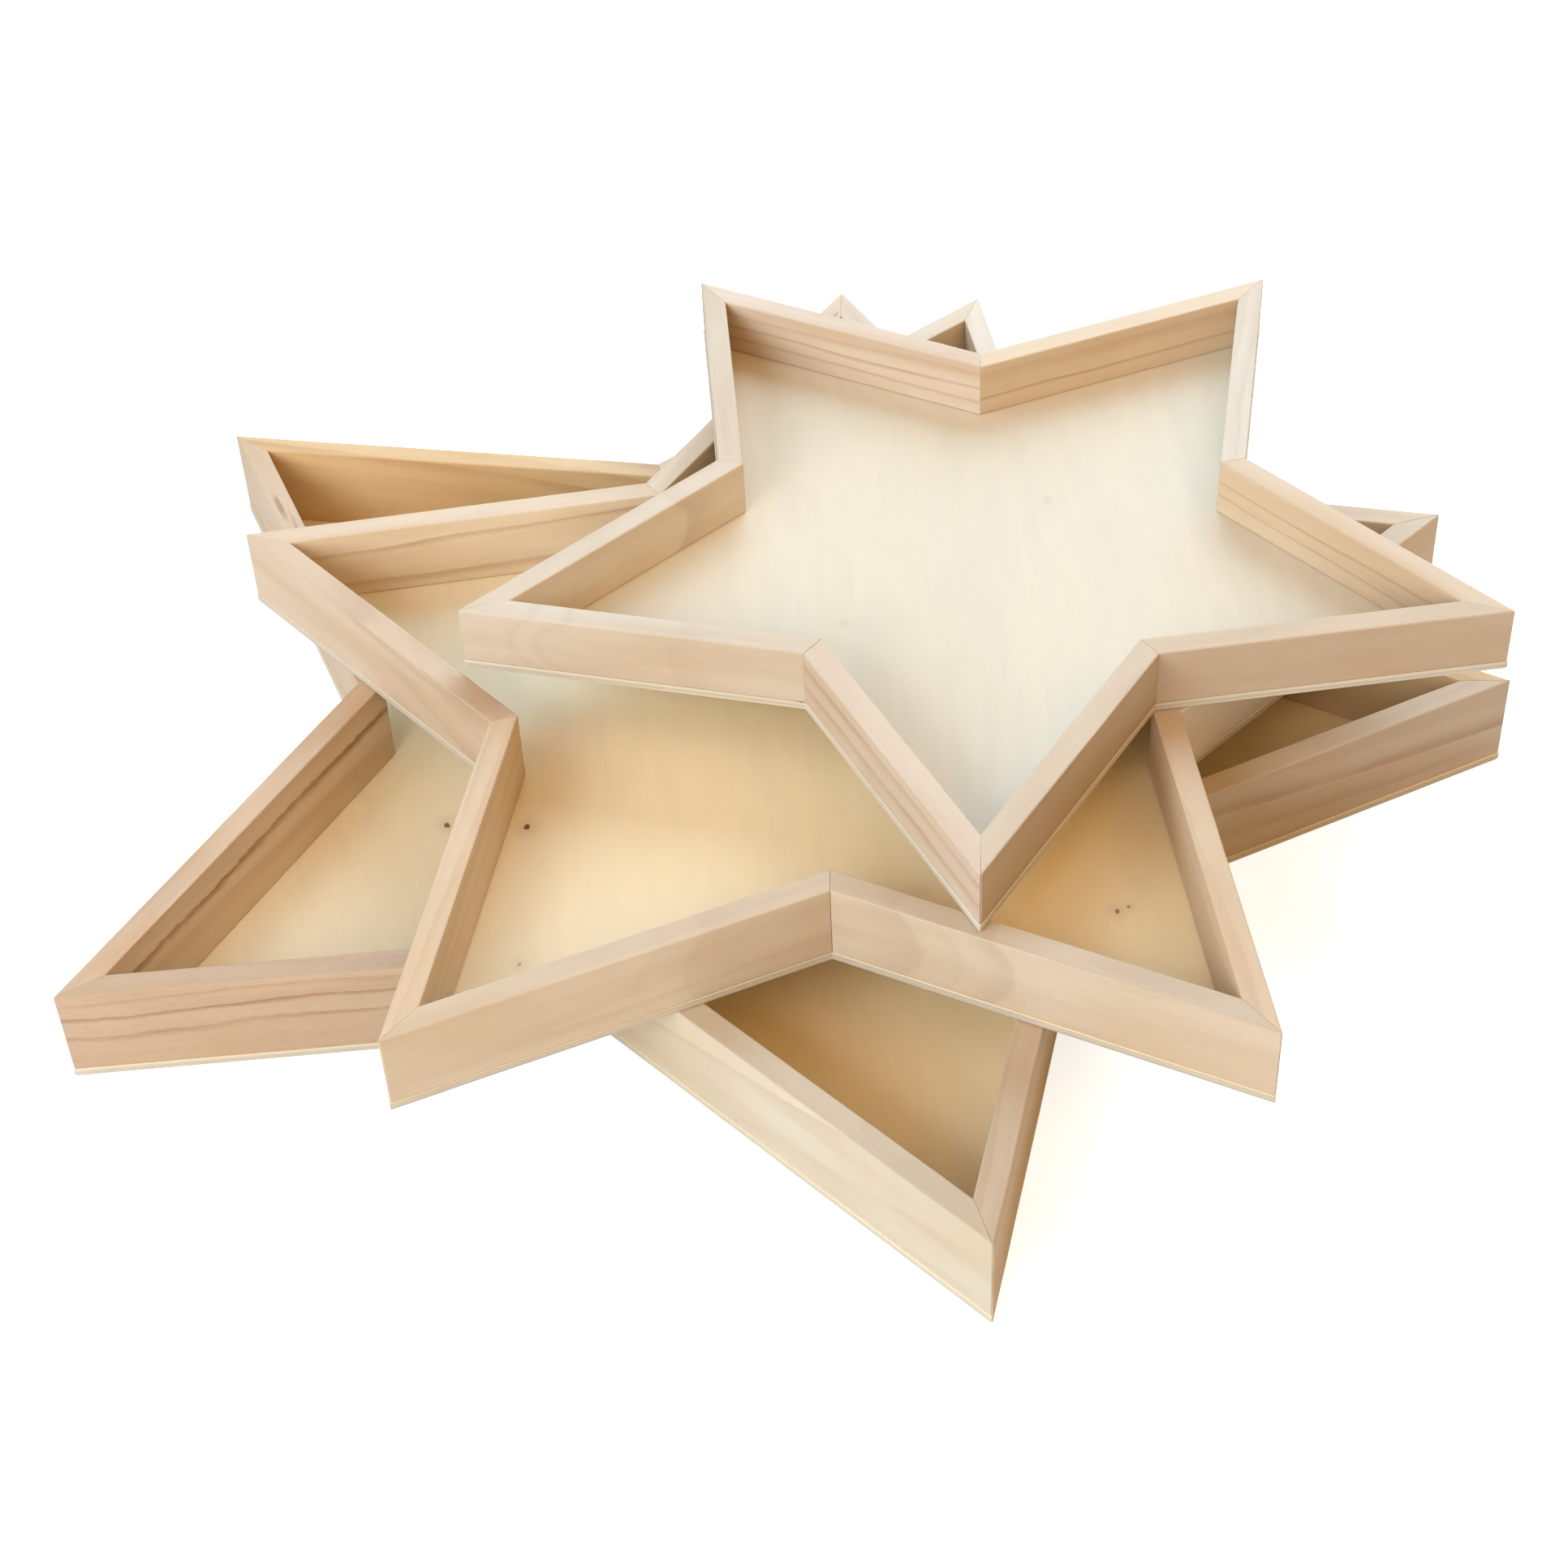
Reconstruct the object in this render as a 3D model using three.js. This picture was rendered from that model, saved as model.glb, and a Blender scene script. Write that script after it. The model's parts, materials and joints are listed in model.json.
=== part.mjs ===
// A nesting set of five-pointed star trays in plain wood, stacked in a fan.
//
// Each tray is a thin plywood base panel cut to a star, with a low wall around it.
// The wall is made of straight rails, two to each point, mitred where they meet:
// along the middle of the point at its tip, and across the corner at each notch.
// The rails stand on the panel, so the panel's edge shows all round under the wall.
// The large tray stands on the table, the medium tray rests on its rim, and the
// small tray rests on the rim of the medium one. Each can be lifted straight off.
//
// Millimetres, +Z up. The origin is the centre of the large tray's underside,
// and the large tray's first point looks along -Y.
import * as THREE from "three";

const POINTS = 5;
const NOTCH_SHARE = 0.533; // radius of the notches, as a share of the radius of the tips
const RAIL_THICKNESS = 7.5;
const PANEL_THICKNESS = 2.3;
const JOINT_GAP = 0.3; // between any two pieces that touch

// tipRadius runs from a tray's centre to its tips, firstPoint is the way its first point
// looks, in degrees from +X towards +Y, and centre is where it lies on the tray below.
const TRAYS = [
  {
    name: "large",
    tipRadius: 221,
    height: 30,
    firstPoint: -90,
    centre: [0, 0],
    railColour: 0xdcbf9a,
    panelColour: 0xe0c297,
  },
  {
    name: "medium",
    tipRadius: 188.5,
    height: 25,
    firstPoint: -71,
    centre: [19.7, -21.6],
    railColour: 0xe2c8a6,
    panelColour: 0xe6cca2,
  },
  {
    name: "small",
    tipRadius: 153.7,
    height: 20,
    firstPoint: -108.5,
    centre: [70.8, 1.2],
    railColour: 0xe6cfae,
    panelColour: 0xf0e3c6,
  },
];

const STEP = Math.PI / POINTS; // angle at the centre from a tip to the next notch

// The lengths and angles that every piece of a tray is worked out from.
function starSizes(tipRadius) {
  const notchRadius = tipRadius * NOTCH_SHARE;
  const acrossPoint = notchRadius * Math.sin(STEP);
  const alongPoint = tipRadius - notchRadius * Math.cos(STEP);
  const halfTip = Math.atan2(acrossPoint, alongPoint); // half the angle of a point
  return {
    tipRadius,
    notchRadius,
    halfTip,
    halfNotch: Math.PI - STEP - halfTip, // half the inner angle of a notch
    side: Math.hypot(acrossPoint, alongPoint), // tip to notch, along the wall's outer face
  };
}

// A prism on a closed outline of [x, y] points, from z = 0 up to its height.
function prism(outline, height) {
  const shape = new THREE.Shape(outline.map(([x, y]) => new THREE.Vector2(x, y)));
  return new THREE.ExtrudeGeometry(shape, { depth: height, bevelEnabled: false });
}

function woodPiece(name, geometry, colour) {
  const material = new THREE.MeshStandardMaterial({
    color: colour,
    roughness: 0.7,
    metalness: 0,
  });
  const piece = new THREE.Mesh(geometry, material);
  piece.name = name;
  return piece;
}

// The star outline with its first tip on +X: tips and notches in turn.
function starOutline(sizes) {
  const outline = [];
  for (let corner = 0; corner < 2 * POINTS; corner += 1) {
    const radius = corner % 2 === 0 ? sizes.tipRadius : sizes.notchRadius;
    outline.push([radius * Math.cos(corner * STEP), radius * Math.sin(corner * STEP)]);
  }
  return outline;
}

// One rail seen from above, with the tip at the origin and the outer face along +X.
// The wall's thickness is on the side of hand, and both mitred ends stop half a gap
// short of the line on which they meet the next rail.
function railOutline(sizes, hand) {
  const tipGap = JOINT_GAP / 2 / Math.sin(sizes.halfTip);
  const notchGap = JOINT_GAP / 2 / Math.sin(sizes.halfNotch);
  const tipMitre = RAIL_THICKNESS / Math.tan(sizes.halfTip);
  const notchMitre = RAIL_THICKNESS / Math.tan(sizes.halfNotch);
  return [
    [tipGap, 0],
    [sizes.side - notchGap, 0],
    [sizes.side - notchGap - notchMitre, hand * RAIL_THICKNESS],
    [tipGap + tipMitre, hand * RAIL_THICKNESS],
  ];
}

function makeRail(tray, sizes, hand, name) {
  const railHeight = tray.height - PANEL_THICKNESS - JOINT_GAP;
  const rail = woodPiece(name, prism(railOutline(sizes, hand), railHeight), tray.railColour);
  rail.position.set(sizes.tipRadius, 0, PANEL_THICKNESS + JOINT_GAP);
  rail.rotation.z = hand * (Math.PI - sizes.halfTip);
  return rail;
}

// A tray about its own centre, with its first point on +X and its underside at z = 0.
function makeTray(tray) {
  const sizes = starSizes(tray.tipRadius);
  const group = new THREE.Group();
  const panel = prism(starOutline(sizes), PANEL_THICKNESS);
  group.add(woodPiece(`${tray.name}_base_panel`, panel, tray.panelColour));
  for (let point = 0; point < POINTS; point += 1) {
    const pointGroup = new THREE.Group();
    pointGroup.rotation.z = 2 * STEP * point;
    const name = `${tray.name}_point${point + 1}`;
    pointGroup.add(makeRail(tray, sizes, 1, `${name}_left_rail`));
    pointGroup.add(makeRail(tray, sizes, -1, `${name}_right_rail`));
    group.add(pointGroup);
  }
  return group;
}

// The trays one on another, each turned and shifted as it lies on the one below.
function makeStack() {
  const stack = new THREE.Group();
  let level = 0;
  for (const tray of TRAYS) {
    const group = makeTray(tray);
    group.position.set(...tray.centre, level);
    group.rotation.z = THREE.MathUtils.degToRad(tray.firstPoint);
    stack.add(group);
    level += tray.height + JOINT_GAP;
  }
  return stack;
}

export default makeStack();
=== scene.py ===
"""Three star trays in plain wood: the looks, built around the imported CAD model.

Every panel and rail of the CAD model is rebuilt with eased edges, blunted tips and fine
mitre joints. Each rail is cut from a board of its own, with growth rings running through it.
Sizes are in millimetres until a point is handed to Blender, which works in metres.
"""

import json
import math
import random

import bmesh
import bpy
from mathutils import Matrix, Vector, noise


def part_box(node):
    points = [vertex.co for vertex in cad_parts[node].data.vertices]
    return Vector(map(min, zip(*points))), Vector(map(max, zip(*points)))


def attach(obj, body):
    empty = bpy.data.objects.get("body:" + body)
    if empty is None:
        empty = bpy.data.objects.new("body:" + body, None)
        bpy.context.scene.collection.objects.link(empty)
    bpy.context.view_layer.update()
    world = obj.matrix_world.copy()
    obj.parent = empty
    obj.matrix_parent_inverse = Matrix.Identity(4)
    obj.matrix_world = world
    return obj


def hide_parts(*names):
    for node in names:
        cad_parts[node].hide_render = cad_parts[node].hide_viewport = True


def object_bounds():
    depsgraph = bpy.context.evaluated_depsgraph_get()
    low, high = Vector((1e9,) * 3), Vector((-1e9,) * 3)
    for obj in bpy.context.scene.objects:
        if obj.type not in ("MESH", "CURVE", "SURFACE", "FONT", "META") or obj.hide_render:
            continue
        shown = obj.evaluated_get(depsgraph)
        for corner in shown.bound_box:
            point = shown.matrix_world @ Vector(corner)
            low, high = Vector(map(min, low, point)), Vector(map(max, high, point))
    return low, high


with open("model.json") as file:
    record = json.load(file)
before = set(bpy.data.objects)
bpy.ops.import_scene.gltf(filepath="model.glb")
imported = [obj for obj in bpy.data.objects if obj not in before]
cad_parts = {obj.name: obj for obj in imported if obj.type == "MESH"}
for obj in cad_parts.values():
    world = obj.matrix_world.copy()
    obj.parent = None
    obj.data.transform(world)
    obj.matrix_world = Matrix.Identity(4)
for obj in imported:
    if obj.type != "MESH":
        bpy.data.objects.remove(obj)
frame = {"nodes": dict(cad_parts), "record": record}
cad_low, cad_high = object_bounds()

MM = 0.001  # metres in a millimetre
NODES = frame["nodes"]
BODY_OF = {
    name: body
    for body, names in frame["record"]["behaviour"]["bodies"].items()
    for name in names
}
TRAYS = ("large", "medium", "small")
SIDES = ("left", "right")
POINTS = 5

# --- the rails' shape, in millimetres ---
EDGE_RADIUS = 0.5  # of the rails' long top edges
EDGE_STEPS = 5  # steps round such an edge
EDGE_MARGIN = 0.3  # a narrow flat strip beside it
LOWER_EDGE_RADIUS = 0.35  # of those at the foot
WEAR_MEAN = 0.75  # how much of its radius an edge shows, and how much that varies along it
WEAR_SWING = 0.5
WEAR_LENGTH = 9
RIPPLE = 0.04  # how far a planed face strays from flat
RIPPLE_SIZES = (25, 6, 12)  # a ripple's sizes along the rail, into it and up it
JOINT_CHAMFER = 0.06  # where a rail's faces meet its mitred ends
JOINT_GLUE = 0.03  # half the glue line between two mitred ends
CAD_HALF_GAP = 0.15  # half the CAD model's gap between two mitred ends
TIP_BLUNT = 0.8  # how far a tip is taken back along the middle of its point
FOOT_GLUE = 0.08  # glue line between a rail and its panel
SET_BACK = (0.05, 0.3)  # least and most that a rail stands back from the CAD model's outer face
LOWERED = (0.0, 0.12)  # least and most that it is lower than the CAD model's
STATION = 3.0  # spacing of a rail's cross sections
ACROSS_STEP = 1.0  # spacing of the points across a rail
UPRIGHT_STEP = 0.16  # and up it, as a share of its height
UPRIGHT_MARGIN = 0.02  # as a share of its height
END_MARGIN = 0.004  # as a share of its length
SHAPE_SEEDS = 500  # a rail's unevenness is drawn from this many places in the noise

# --- the panels' shape, in millimetres ---
PANEL_EASE = 0.2
EASE_MIDDLE = 0.3  # where the middle of an eased edge lies, as a share of the easing
TIP_CUT = 0.9  # how far from a tip's corner its rounding starts
NOTCH_CUT = 0.4  # and how far from a notch's
TIP_SHARE = 0.9  # a corner beyond this share of the farthest one's distance is a tip
RIM_STEP = 8  # spacing of the points along a side
RING_SHARES = (0.94, 0.8, 0.6, 0.4, 0.2)  # of the way from the centre to the rim
RING_INSET = 0.3  # how far the rim is moved in before the rings are taken from it
SAW_WOBBLE = 0.05  # how unevenly the star was sawn out
SAW_WOBBLE_LENGTH = 14
SIDE_LEAN = 0.45  # how far a side moves in for each mm that its points move to the centre

SHARP_ANGLE = 32  # degrees between two faces, from which their edge stays sharp

# --- the studio, in metres ---
FLOOR_REACH = 6.0
FLOOR_DROP = 0.0002  # how far the floor lies below the lowest panel
FLOOR_COLOUR = (0.78, 0.78, 0.78)
FLOOR_ROUGHNESS = 0.8
GLOW_COLOUR = (0.86, 0.95, 1.0)
FLOOR_GLOW = 0.72  # keeps the floor pale under the trays' shadow
AMBIENT_COLOUR = (0.8, 0.45, 0.15)
AMBIENT_STRENGTH = 0.1
SUN_DISTANCE = 2.0  # where a sun is put; its light doesn't depend on it
CAMERA_PLACE = (-0.14315, -0.62736, 0.55979)
CAMERA_TURN = (48.410, 2.260, -15.557)  # degrees about X, Y and Z
CAMERA_LENS = 65.0  # mm
CAMERA_SENSOR = 36.0  # mm across
CAMERA_NEAR = 0.01


# --- reading the CAD model ---
def plan_points(node):
    """The node's corners seen from above, each once, in millimetres."""
    seen = {}
    for vertex in NODES[node].data.vertices:
        x, y = vertex.co.x / MM, vertex.co.y / MM
        seen[round(x, 2), round(y, 2)] = Vector((x, y))
    return list(seen.values())


def levels(node):
    """The heights of the node's underside and top, in millimetres."""
    low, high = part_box(node)
    return low.z / MM, high.z / MM


def tray_centre(tray):
    """The middle of a tray's star, seen from above, in millimetres."""
    corners = plan_points(f"{tray}_base_panel")
    return sum(corners, Vector((0, 0))) / len(corners)


class RailFrame:
    """Where a rail lies: x from its tip to its notch along the outer face, y inward, z up."""

    def __init__(self, tray, node):
        centre = tray_centre(tray)
        by_radius = sorted(plan_points(node), key=lambda p: (p - centre).length)
        inner_notch, outer_notch, inner_tip, outer_tip = by_radius
        self.origin = outer_tip
        self.along = (outer_notch - outer_tip).normalized()
        self.inward = Vector((-self.along.y, self.along.x))
        if self.inward.dot(inner_tip - outer_tip) < 0:
            self.inward = -self.inward
        self.length = (outer_notch - outer_tip).length
        self.thickness = (inner_tip - outer_tip).dot(self.inward)
        self.tip_slope = (inner_tip - outer_tip).dot(self.along) / self.thickness
        self.notch_slope = (inner_notch - outer_notch).dot(self.along) / self.thickness
        self.floor, self.top = levels(node)
        self.height = self.top - self.floor
        self.panel_top = levels(f"{tray}_base_panel")[1]

    def place(self, x, y, z):
        """The point in the model's own axes, in metres."""
        plan = self.origin + self.along * x + self.inward * y
        return Vector((plan.x, plan.y, self.floor + z)) * MM


# --- meshes ---
def box_shell(counts, place):
    """A closed mesh with the topology of a box, gridded on all six sides.

    counts are the cells along the three axes, and place(i, j, k) says where a grid point is.
    """
    shell = bmesh.new()
    made = {}

    def corner(*index):
        if index not in made:
            made[index] = shell.verts.new(place(*index))
        return made[index]

    for axis in range(3):
        across, up = [a for a in range(3) if a != axis]
        for side in (0, counts[axis]):
            for i in range(counts[across]):
                for j in range(counts[up]):
                    face = []
                    for di, dj in ((0, 0), (1, 0), (1, 1), (0, 1)):
                        index = [0, 0, 0]
                        index[axis], index[across], index[up] = side, i + di, j + dj
                        face.append(corner(*index))
                    shell.faces.new(face)
    return shell


def finish_mesh(node, shell, grain):
    """Turns a bmesh into a smooth-shaded object that will stand for the node.

    grain(point) gives a point's place in its board, in mm.
    """
    name = f"{node}_finished"
    bmesh.ops.recalc_face_normals(shell, faces=shell.faces)
    mesh = bpy.data.meshes.new(name)
    shell.to_mesh(mesh)
    shell.free()
    mesh.shade_smooth()
    mesh.set_sharp_from_angle(angle=math.radians(SHARP_ANGLE))
    spots = mesh.attributes.new("grain", "FLOAT_VECTOR", "POINT")
    for vertex in mesh.vertices:
        spots.data[vertex.index].vector = grain(vertex.co)
    piece = bpy.data.objects.new(name, mesh)
    bpy.context.scene.collection.objects.link(piece)
    return piece


def spread(length, ends, step):
    """Steps from 0 to length: the places in ends measured from both ends, evenly between them."""
    inner = length - 2 * ends[-1]
    count = max(2, round(inner / step))
    middle = [ends[-1] + inner * n / count for n in range(1, count)]
    return [*ends, *middle, *[length - e for e in reversed(ends)]]


def arc_steps(radius, count):
    """Distances from a face, over a rounded edge of that radius."""
    return [radius * (1 - math.cos(math.pi / 2 * n / count)) for n in range(count + 1)]


def rounded(distance, radius):
    """How far a surface drops at a distance from the face it rounds over to."""
    if distance >= radius:
        return 0.0
    return radius - math.sqrt(max(0.0, radius**2 - (radius - distance) ** 2))


def rail_mesh(rail, node, rng):
    """One rail: a mitred strip with rounded long edges, a blunt tip and tiny end chamfers."""
    seed = rng.uniform(0, SHAPE_SEEDS)
    set_back = rng.uniform(*SET_BACK)
    lowered = rng.uniform(*LOWERED)
    thickness = rail.thickness - set_back
    height = rail.height - lowered
    foot = rail.panel_top - rail.floor + FOOT_GLUE
    half_tip = math.atan2(1, rail.tip_slope)
    half_notch = math.atan2(1, rail.notch_slope)
    tip_reach = (CAD_HALF_GAP - JOINT_GLUE) / math.sin(half_tip)
    notch_reach = (CAD_HALF_GAP - JOINT_GLUE) / math.sin(half_notch)

    edge_steps = [*arc_steps(EDGE_RADIUS, EDGE_STEPS), EDGE_RADIUS + EDGE_MARGIN]
    end_steps = [0.0, JOINT_CHAMFER / rail.length, END_MARGIN]
    across = spread(thickness, edge_steps, ACROSS_STEP)
    upright = spread(1.0, [0.0, UPRIGHT_MARGIN], UPRIGHT_STEP)
    along = spread(1.0, end_steps, STATION / rail.length)

    def start(y):
        mitre = y * rail.tip_slope - tip_reach
        blunt = (TIP_BLUNT - y * math.sin(half_tip)) / math.cos(half_tip) - tip_reach
        return max(mitre, blunt)

    def end(y):
        return rail.length + y * rail.notch_slope + notch_reach

    def place(i, j, k):
        y = across[j]
        share = along[i]
        edge = min(y, thickness - y)
        x = start(y + set_back) + share * (end(y + set_back) - start(y + set_back))
        spot = Vector((x / WEAR_LENGTH, seed, y / WEAR_LENGTH))
        wear = WEAR_MEAN + WEAR_SWING * noise.noise(spot)
        drop = rounded(edge, EDGE_RADIUS) * wear
        lift = rounded(edge, EDGE_RADIUS) * LOWER_EDGE_RADIUS / EDGE_RADIUS
        low, high = foot + lift, height - drop
        z = low + upright[k] * (high - low)
        if i in (0, len(along) - 1):
            y = min(max(y, JOINT_CHAMFER), thickness - JOINT_CHAMFER)
            z = min(max(z, low + JOINT_CHAMFER), high - JOINT_CHAMFER)
        spot = Vector((x / RIPPLE_SIZES[0], y / RIPPLE_SIZES[1] + seed, z / RIPPLE_SIZES[2]))
        ripple = RIPPLE * noise.noise(spot)
        return rail.place(x, y + set_back + ripple, z)

    shell = box_shell((len(along) - 1, len(across) - 1, len(upright) - 1), place)

    def grain(point):
        offset = Vector((point.x, point.y)) / MM - rail.origin
        return (offset.dot(rail.along), offset.dot(rail.inward), point.z / MM - rail.floor)

    return finish_mesh(node, shell, grain)


def panel_outline(node, tray):
    """The star's corners in order, anticlockwise."""
    centre = tray_centre(tray)
    corners = plan_points(node)
    return sorted(corners, key=lambda p: math.atan2(p.y - centre.y, p.x - centre.x))


def panel_rim(corners, centre):
    """Points round the star: blunted tips, and steps along each side."""
    rim = []
    reach = max((c - centre).length for c in corners)
    count = len(corners)
    for n, corner in enumerate(corners):
        before, after = corners[n - 1], corners[(n + 1) % count]
        is_tip = (corner - centre).length > TIP_SHARE * reach
        cut = TIP_CUT if is_tip else NOTCH_CUT
        arrive = corner + (before - corner).normalized() * cut
        leave = corner + (after - corner).normalized() * cut
        for t in (0.0, 0.5, 1.0):
            a = arrive.lerp(corner, t)
            b = corner.lerp(leave, t)
            rim.append(a.lerp(b, t))
        side = (after - corner).length
        steps = round(side / RIM_STEP)
        target = after + (corner - after).normalized() * cut
        for s in range(1, steps):
            rim.append(leave.lerp(target, s / steps))
    return rim


def panel_mesh(tray, node, heading):
    """A tray's base panel: the star with eased edges, in rings from the rim to the centre."""
    centre = tray_centre(tray)
    rim = panel_rim(panel_outline(node, tray), centre)
    low, high = levels(node)
    seed = len(node)  # any number will do
    profile = [
        (PANEL_EASE, low),
        (PANEL_EASE * EASE_MIDDLE, low + PANEL_EASE * EASE_MIDDLE),
        (0.0, low + PANEL_EASE),
        (0.0, (low + high) / 2),
        (0.0, high - PANEL_EASE),
        (PANEL_EASE * EASE_MIDDLE, high - PANEL_EASE * EASE_MIDDLE),
        (PANEL_EASE, high),
    ]
    shell = bmesh.new()

    def ring(inset, share, z):
        made = []
        for p in rim:
            out = p - centre
            spot = Vector((p.x / SAW_WOBBLE_LENGTH, p.y / SAW_WOBBLE_LENGTH, seed))
            wobble = SAW_WOBBLE * (1 + noise.noise(spot))
            reach = out.length - (inset + wobble) / SIDE_LEAN
            plan = centre + out * (reach / out.length * share)
            made.append(shell.verts.new(Vector((plan.x, plan.y, z)) * MM))
        return made

    rings = [ring(RING_INSET, share, low) for share in reversed(RING_SHARES)]
    rings += [ring(inset, 1.0, z) for inset, z in profile]
    rings += [ring(RING_INSET, share, high) for share in RING_SHARES]
    count = len(rim)
    for lower, upper in zip(rings, rings[1:]):
        for n in range(count):
            m = (n + 1) % count
            shell.faces.new((lower[n], lower[m], upper[m], upper[n]))
    for hub, z in ((rings[0], low), (rings[-1], high)):
        middle = shell.verts.new(Vector((centre.x, centre.y, z)) * MM)
        for n in range(count):
            shell.faces.new((hub[n], hub[(n + 1) % count], middle))

    turn = math.radians(heading)

    def grain(point):
        out = Vector((point.x, point.y)) / MM - centre
        x = out.x * math.cos(turn) + out.y * math.sin(turn)
        y = out.y * math.cos(turn) - out.x * math.sin(turn)
        return (x, y, point.z / MM - low)

    return finish_mesh(node, shell, grain)


# --- materials ---
BUMP_STRENGTH = 0.35
SPECULAR_LEVEL = 0.3

# The sizes of a board's features, in mm along it, into it and up it.
RING_WANDER = (80, 22, 22)
RING_JITTER = (14, 3, 3)
RING_PATCHES = (50, 12, 12)
STRIPE_WANDER = (45, 9, 9)
STRIPE_FADING = (28, 8, 8)
ARCH_WANDER = (12, 6, 6)
RAGGED_EDGE = (3.5, 0.7, 0.7)
BROAD_TONE = (110, 10, 10)
TONE_PATCHES = (35, 14, 14)
STREAKS = (50, 1.3, 1.3)
FIBRES = (7, 0.3, 0.3)
PORES = (3.0, 0.24, 0.24)

# A board's growth rings.
JITTER_REACH = 0.35  # mm to either side
LATE_RISE = (0.3, 0.92)  # the shares of a ring over which its late wood darkens
LATE_FALL = (1.0, 0.93)  # and over which it ends
RING_WEIGHTS = (0.2, 1.0)  # of the faintest ring and the strongest
PATCH_EDGE = (0.35, 0.6)  # the noise levels between which the rings come out
PATCH_WEIGHTS = (0.35, 1.0)
FIGURE_FADE = 12  # mm to either side of where the figure starts and ends

# Its drawn marks. A stripe's edges are in widths from its line, and an arch's in mm.
STRIPE_TAIL = (-3.5, 0.0)
STRIPE_EDGE = (1.0, 0.0)
STRIPE_STRENGTHS = (0.35, 1.5)  # how it comes and goes along its length
ARCH_WANDER_REACH = 1.5
ARCH_EDGE = (-1.0, 1.2)
FLECK_RAGGED = 0.35
FLECK_EDGE = (1.0, 0.35)  # in reaches from its middle

# The noise levels between which a pore starts.
PORE_EDGE = (0.66, 0.8)

# How warm a board is: what each feature adds, at its least and its most.
BROAD_WARMTH = (-0.7, 1.1)
PATCH_WARMTH = (-0.5, 0.5)
STREAK_WARMTH = (-0.2, 0.2)
RING_WARMTH = (0.2, 0.4)

# How light it is, and what its features add to that and to its fine relief.
WOOD_LIGHTNESS = 0.89
STREAK_LIGHTNESS = 0.10
FIBRE_LIGHTNESS = 0.06
PORE_LIGHTNESS = -0.12
FIBRE_HEIGHT = 0.5
LATE_HEIGHT = 0.4
PORE_HEIGHT = -0.6
MARK_HEIGHT = -0.3
WOOD_RELIEF = 0.12  # mm
WOOD_ROUGHNESS = (0.5, 0.72)

# The same for a panel's veneer: sizes in mm along its grain, across it and through it.
VENEER_TONE = (120, 45, 45)
VENEER_STREAKS = (110, 5.0, 5.0)
VENEER_FIBRES = (10, 0.4, 0.4)
VENEER_FLAMES = (60, 16, 16)
VENEER_KNOT_EDGE = (1.6, 0.9, 0.9)
FLAME_BANDS = 7.0  # how often its watered figure repeats
VENEER_TONE_WARMTH = (-0.1, 0.1)
VENEER_STREAK_WARMTH = (-0.07, 0.07)
VENEER_LIGHTNESS = 0.94
VENEER_FIBRE_LIGHTNESS = 0.055
VENEER_STREAK_LIGHTNESS = 0.035
VENEER_FLAME_LIGHTNESS = 0.025
KNOT_HEIGHT = -1.0
VENEER_RELIEF = 0.1  # mm
VENEER_ROUGHNESS = (0.5, 0.68)

# A knot's shape, and its edges in radii from its middle.
KNOT_NARROWING = 0.75  # makes it longer along the grain
KNOT_RAGGED = (-0.45, 0.45)
KNOT_EDGE = (1.0, 0.45)
HALO_EDGE = (4.5, 0.5)
HALO_STRENGTH = 0.16

# The panels' plies, as shares of the thickness from the middle: where each change starts, ends.
FACE_PLIES = (0.48, 0.44)
CORE_PLY = (0.19, 0.15)

# How far a seed moves a noise's pattern along each axis.
SEED_SHIFTS = (1.0, 0.37, 0.71)


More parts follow.
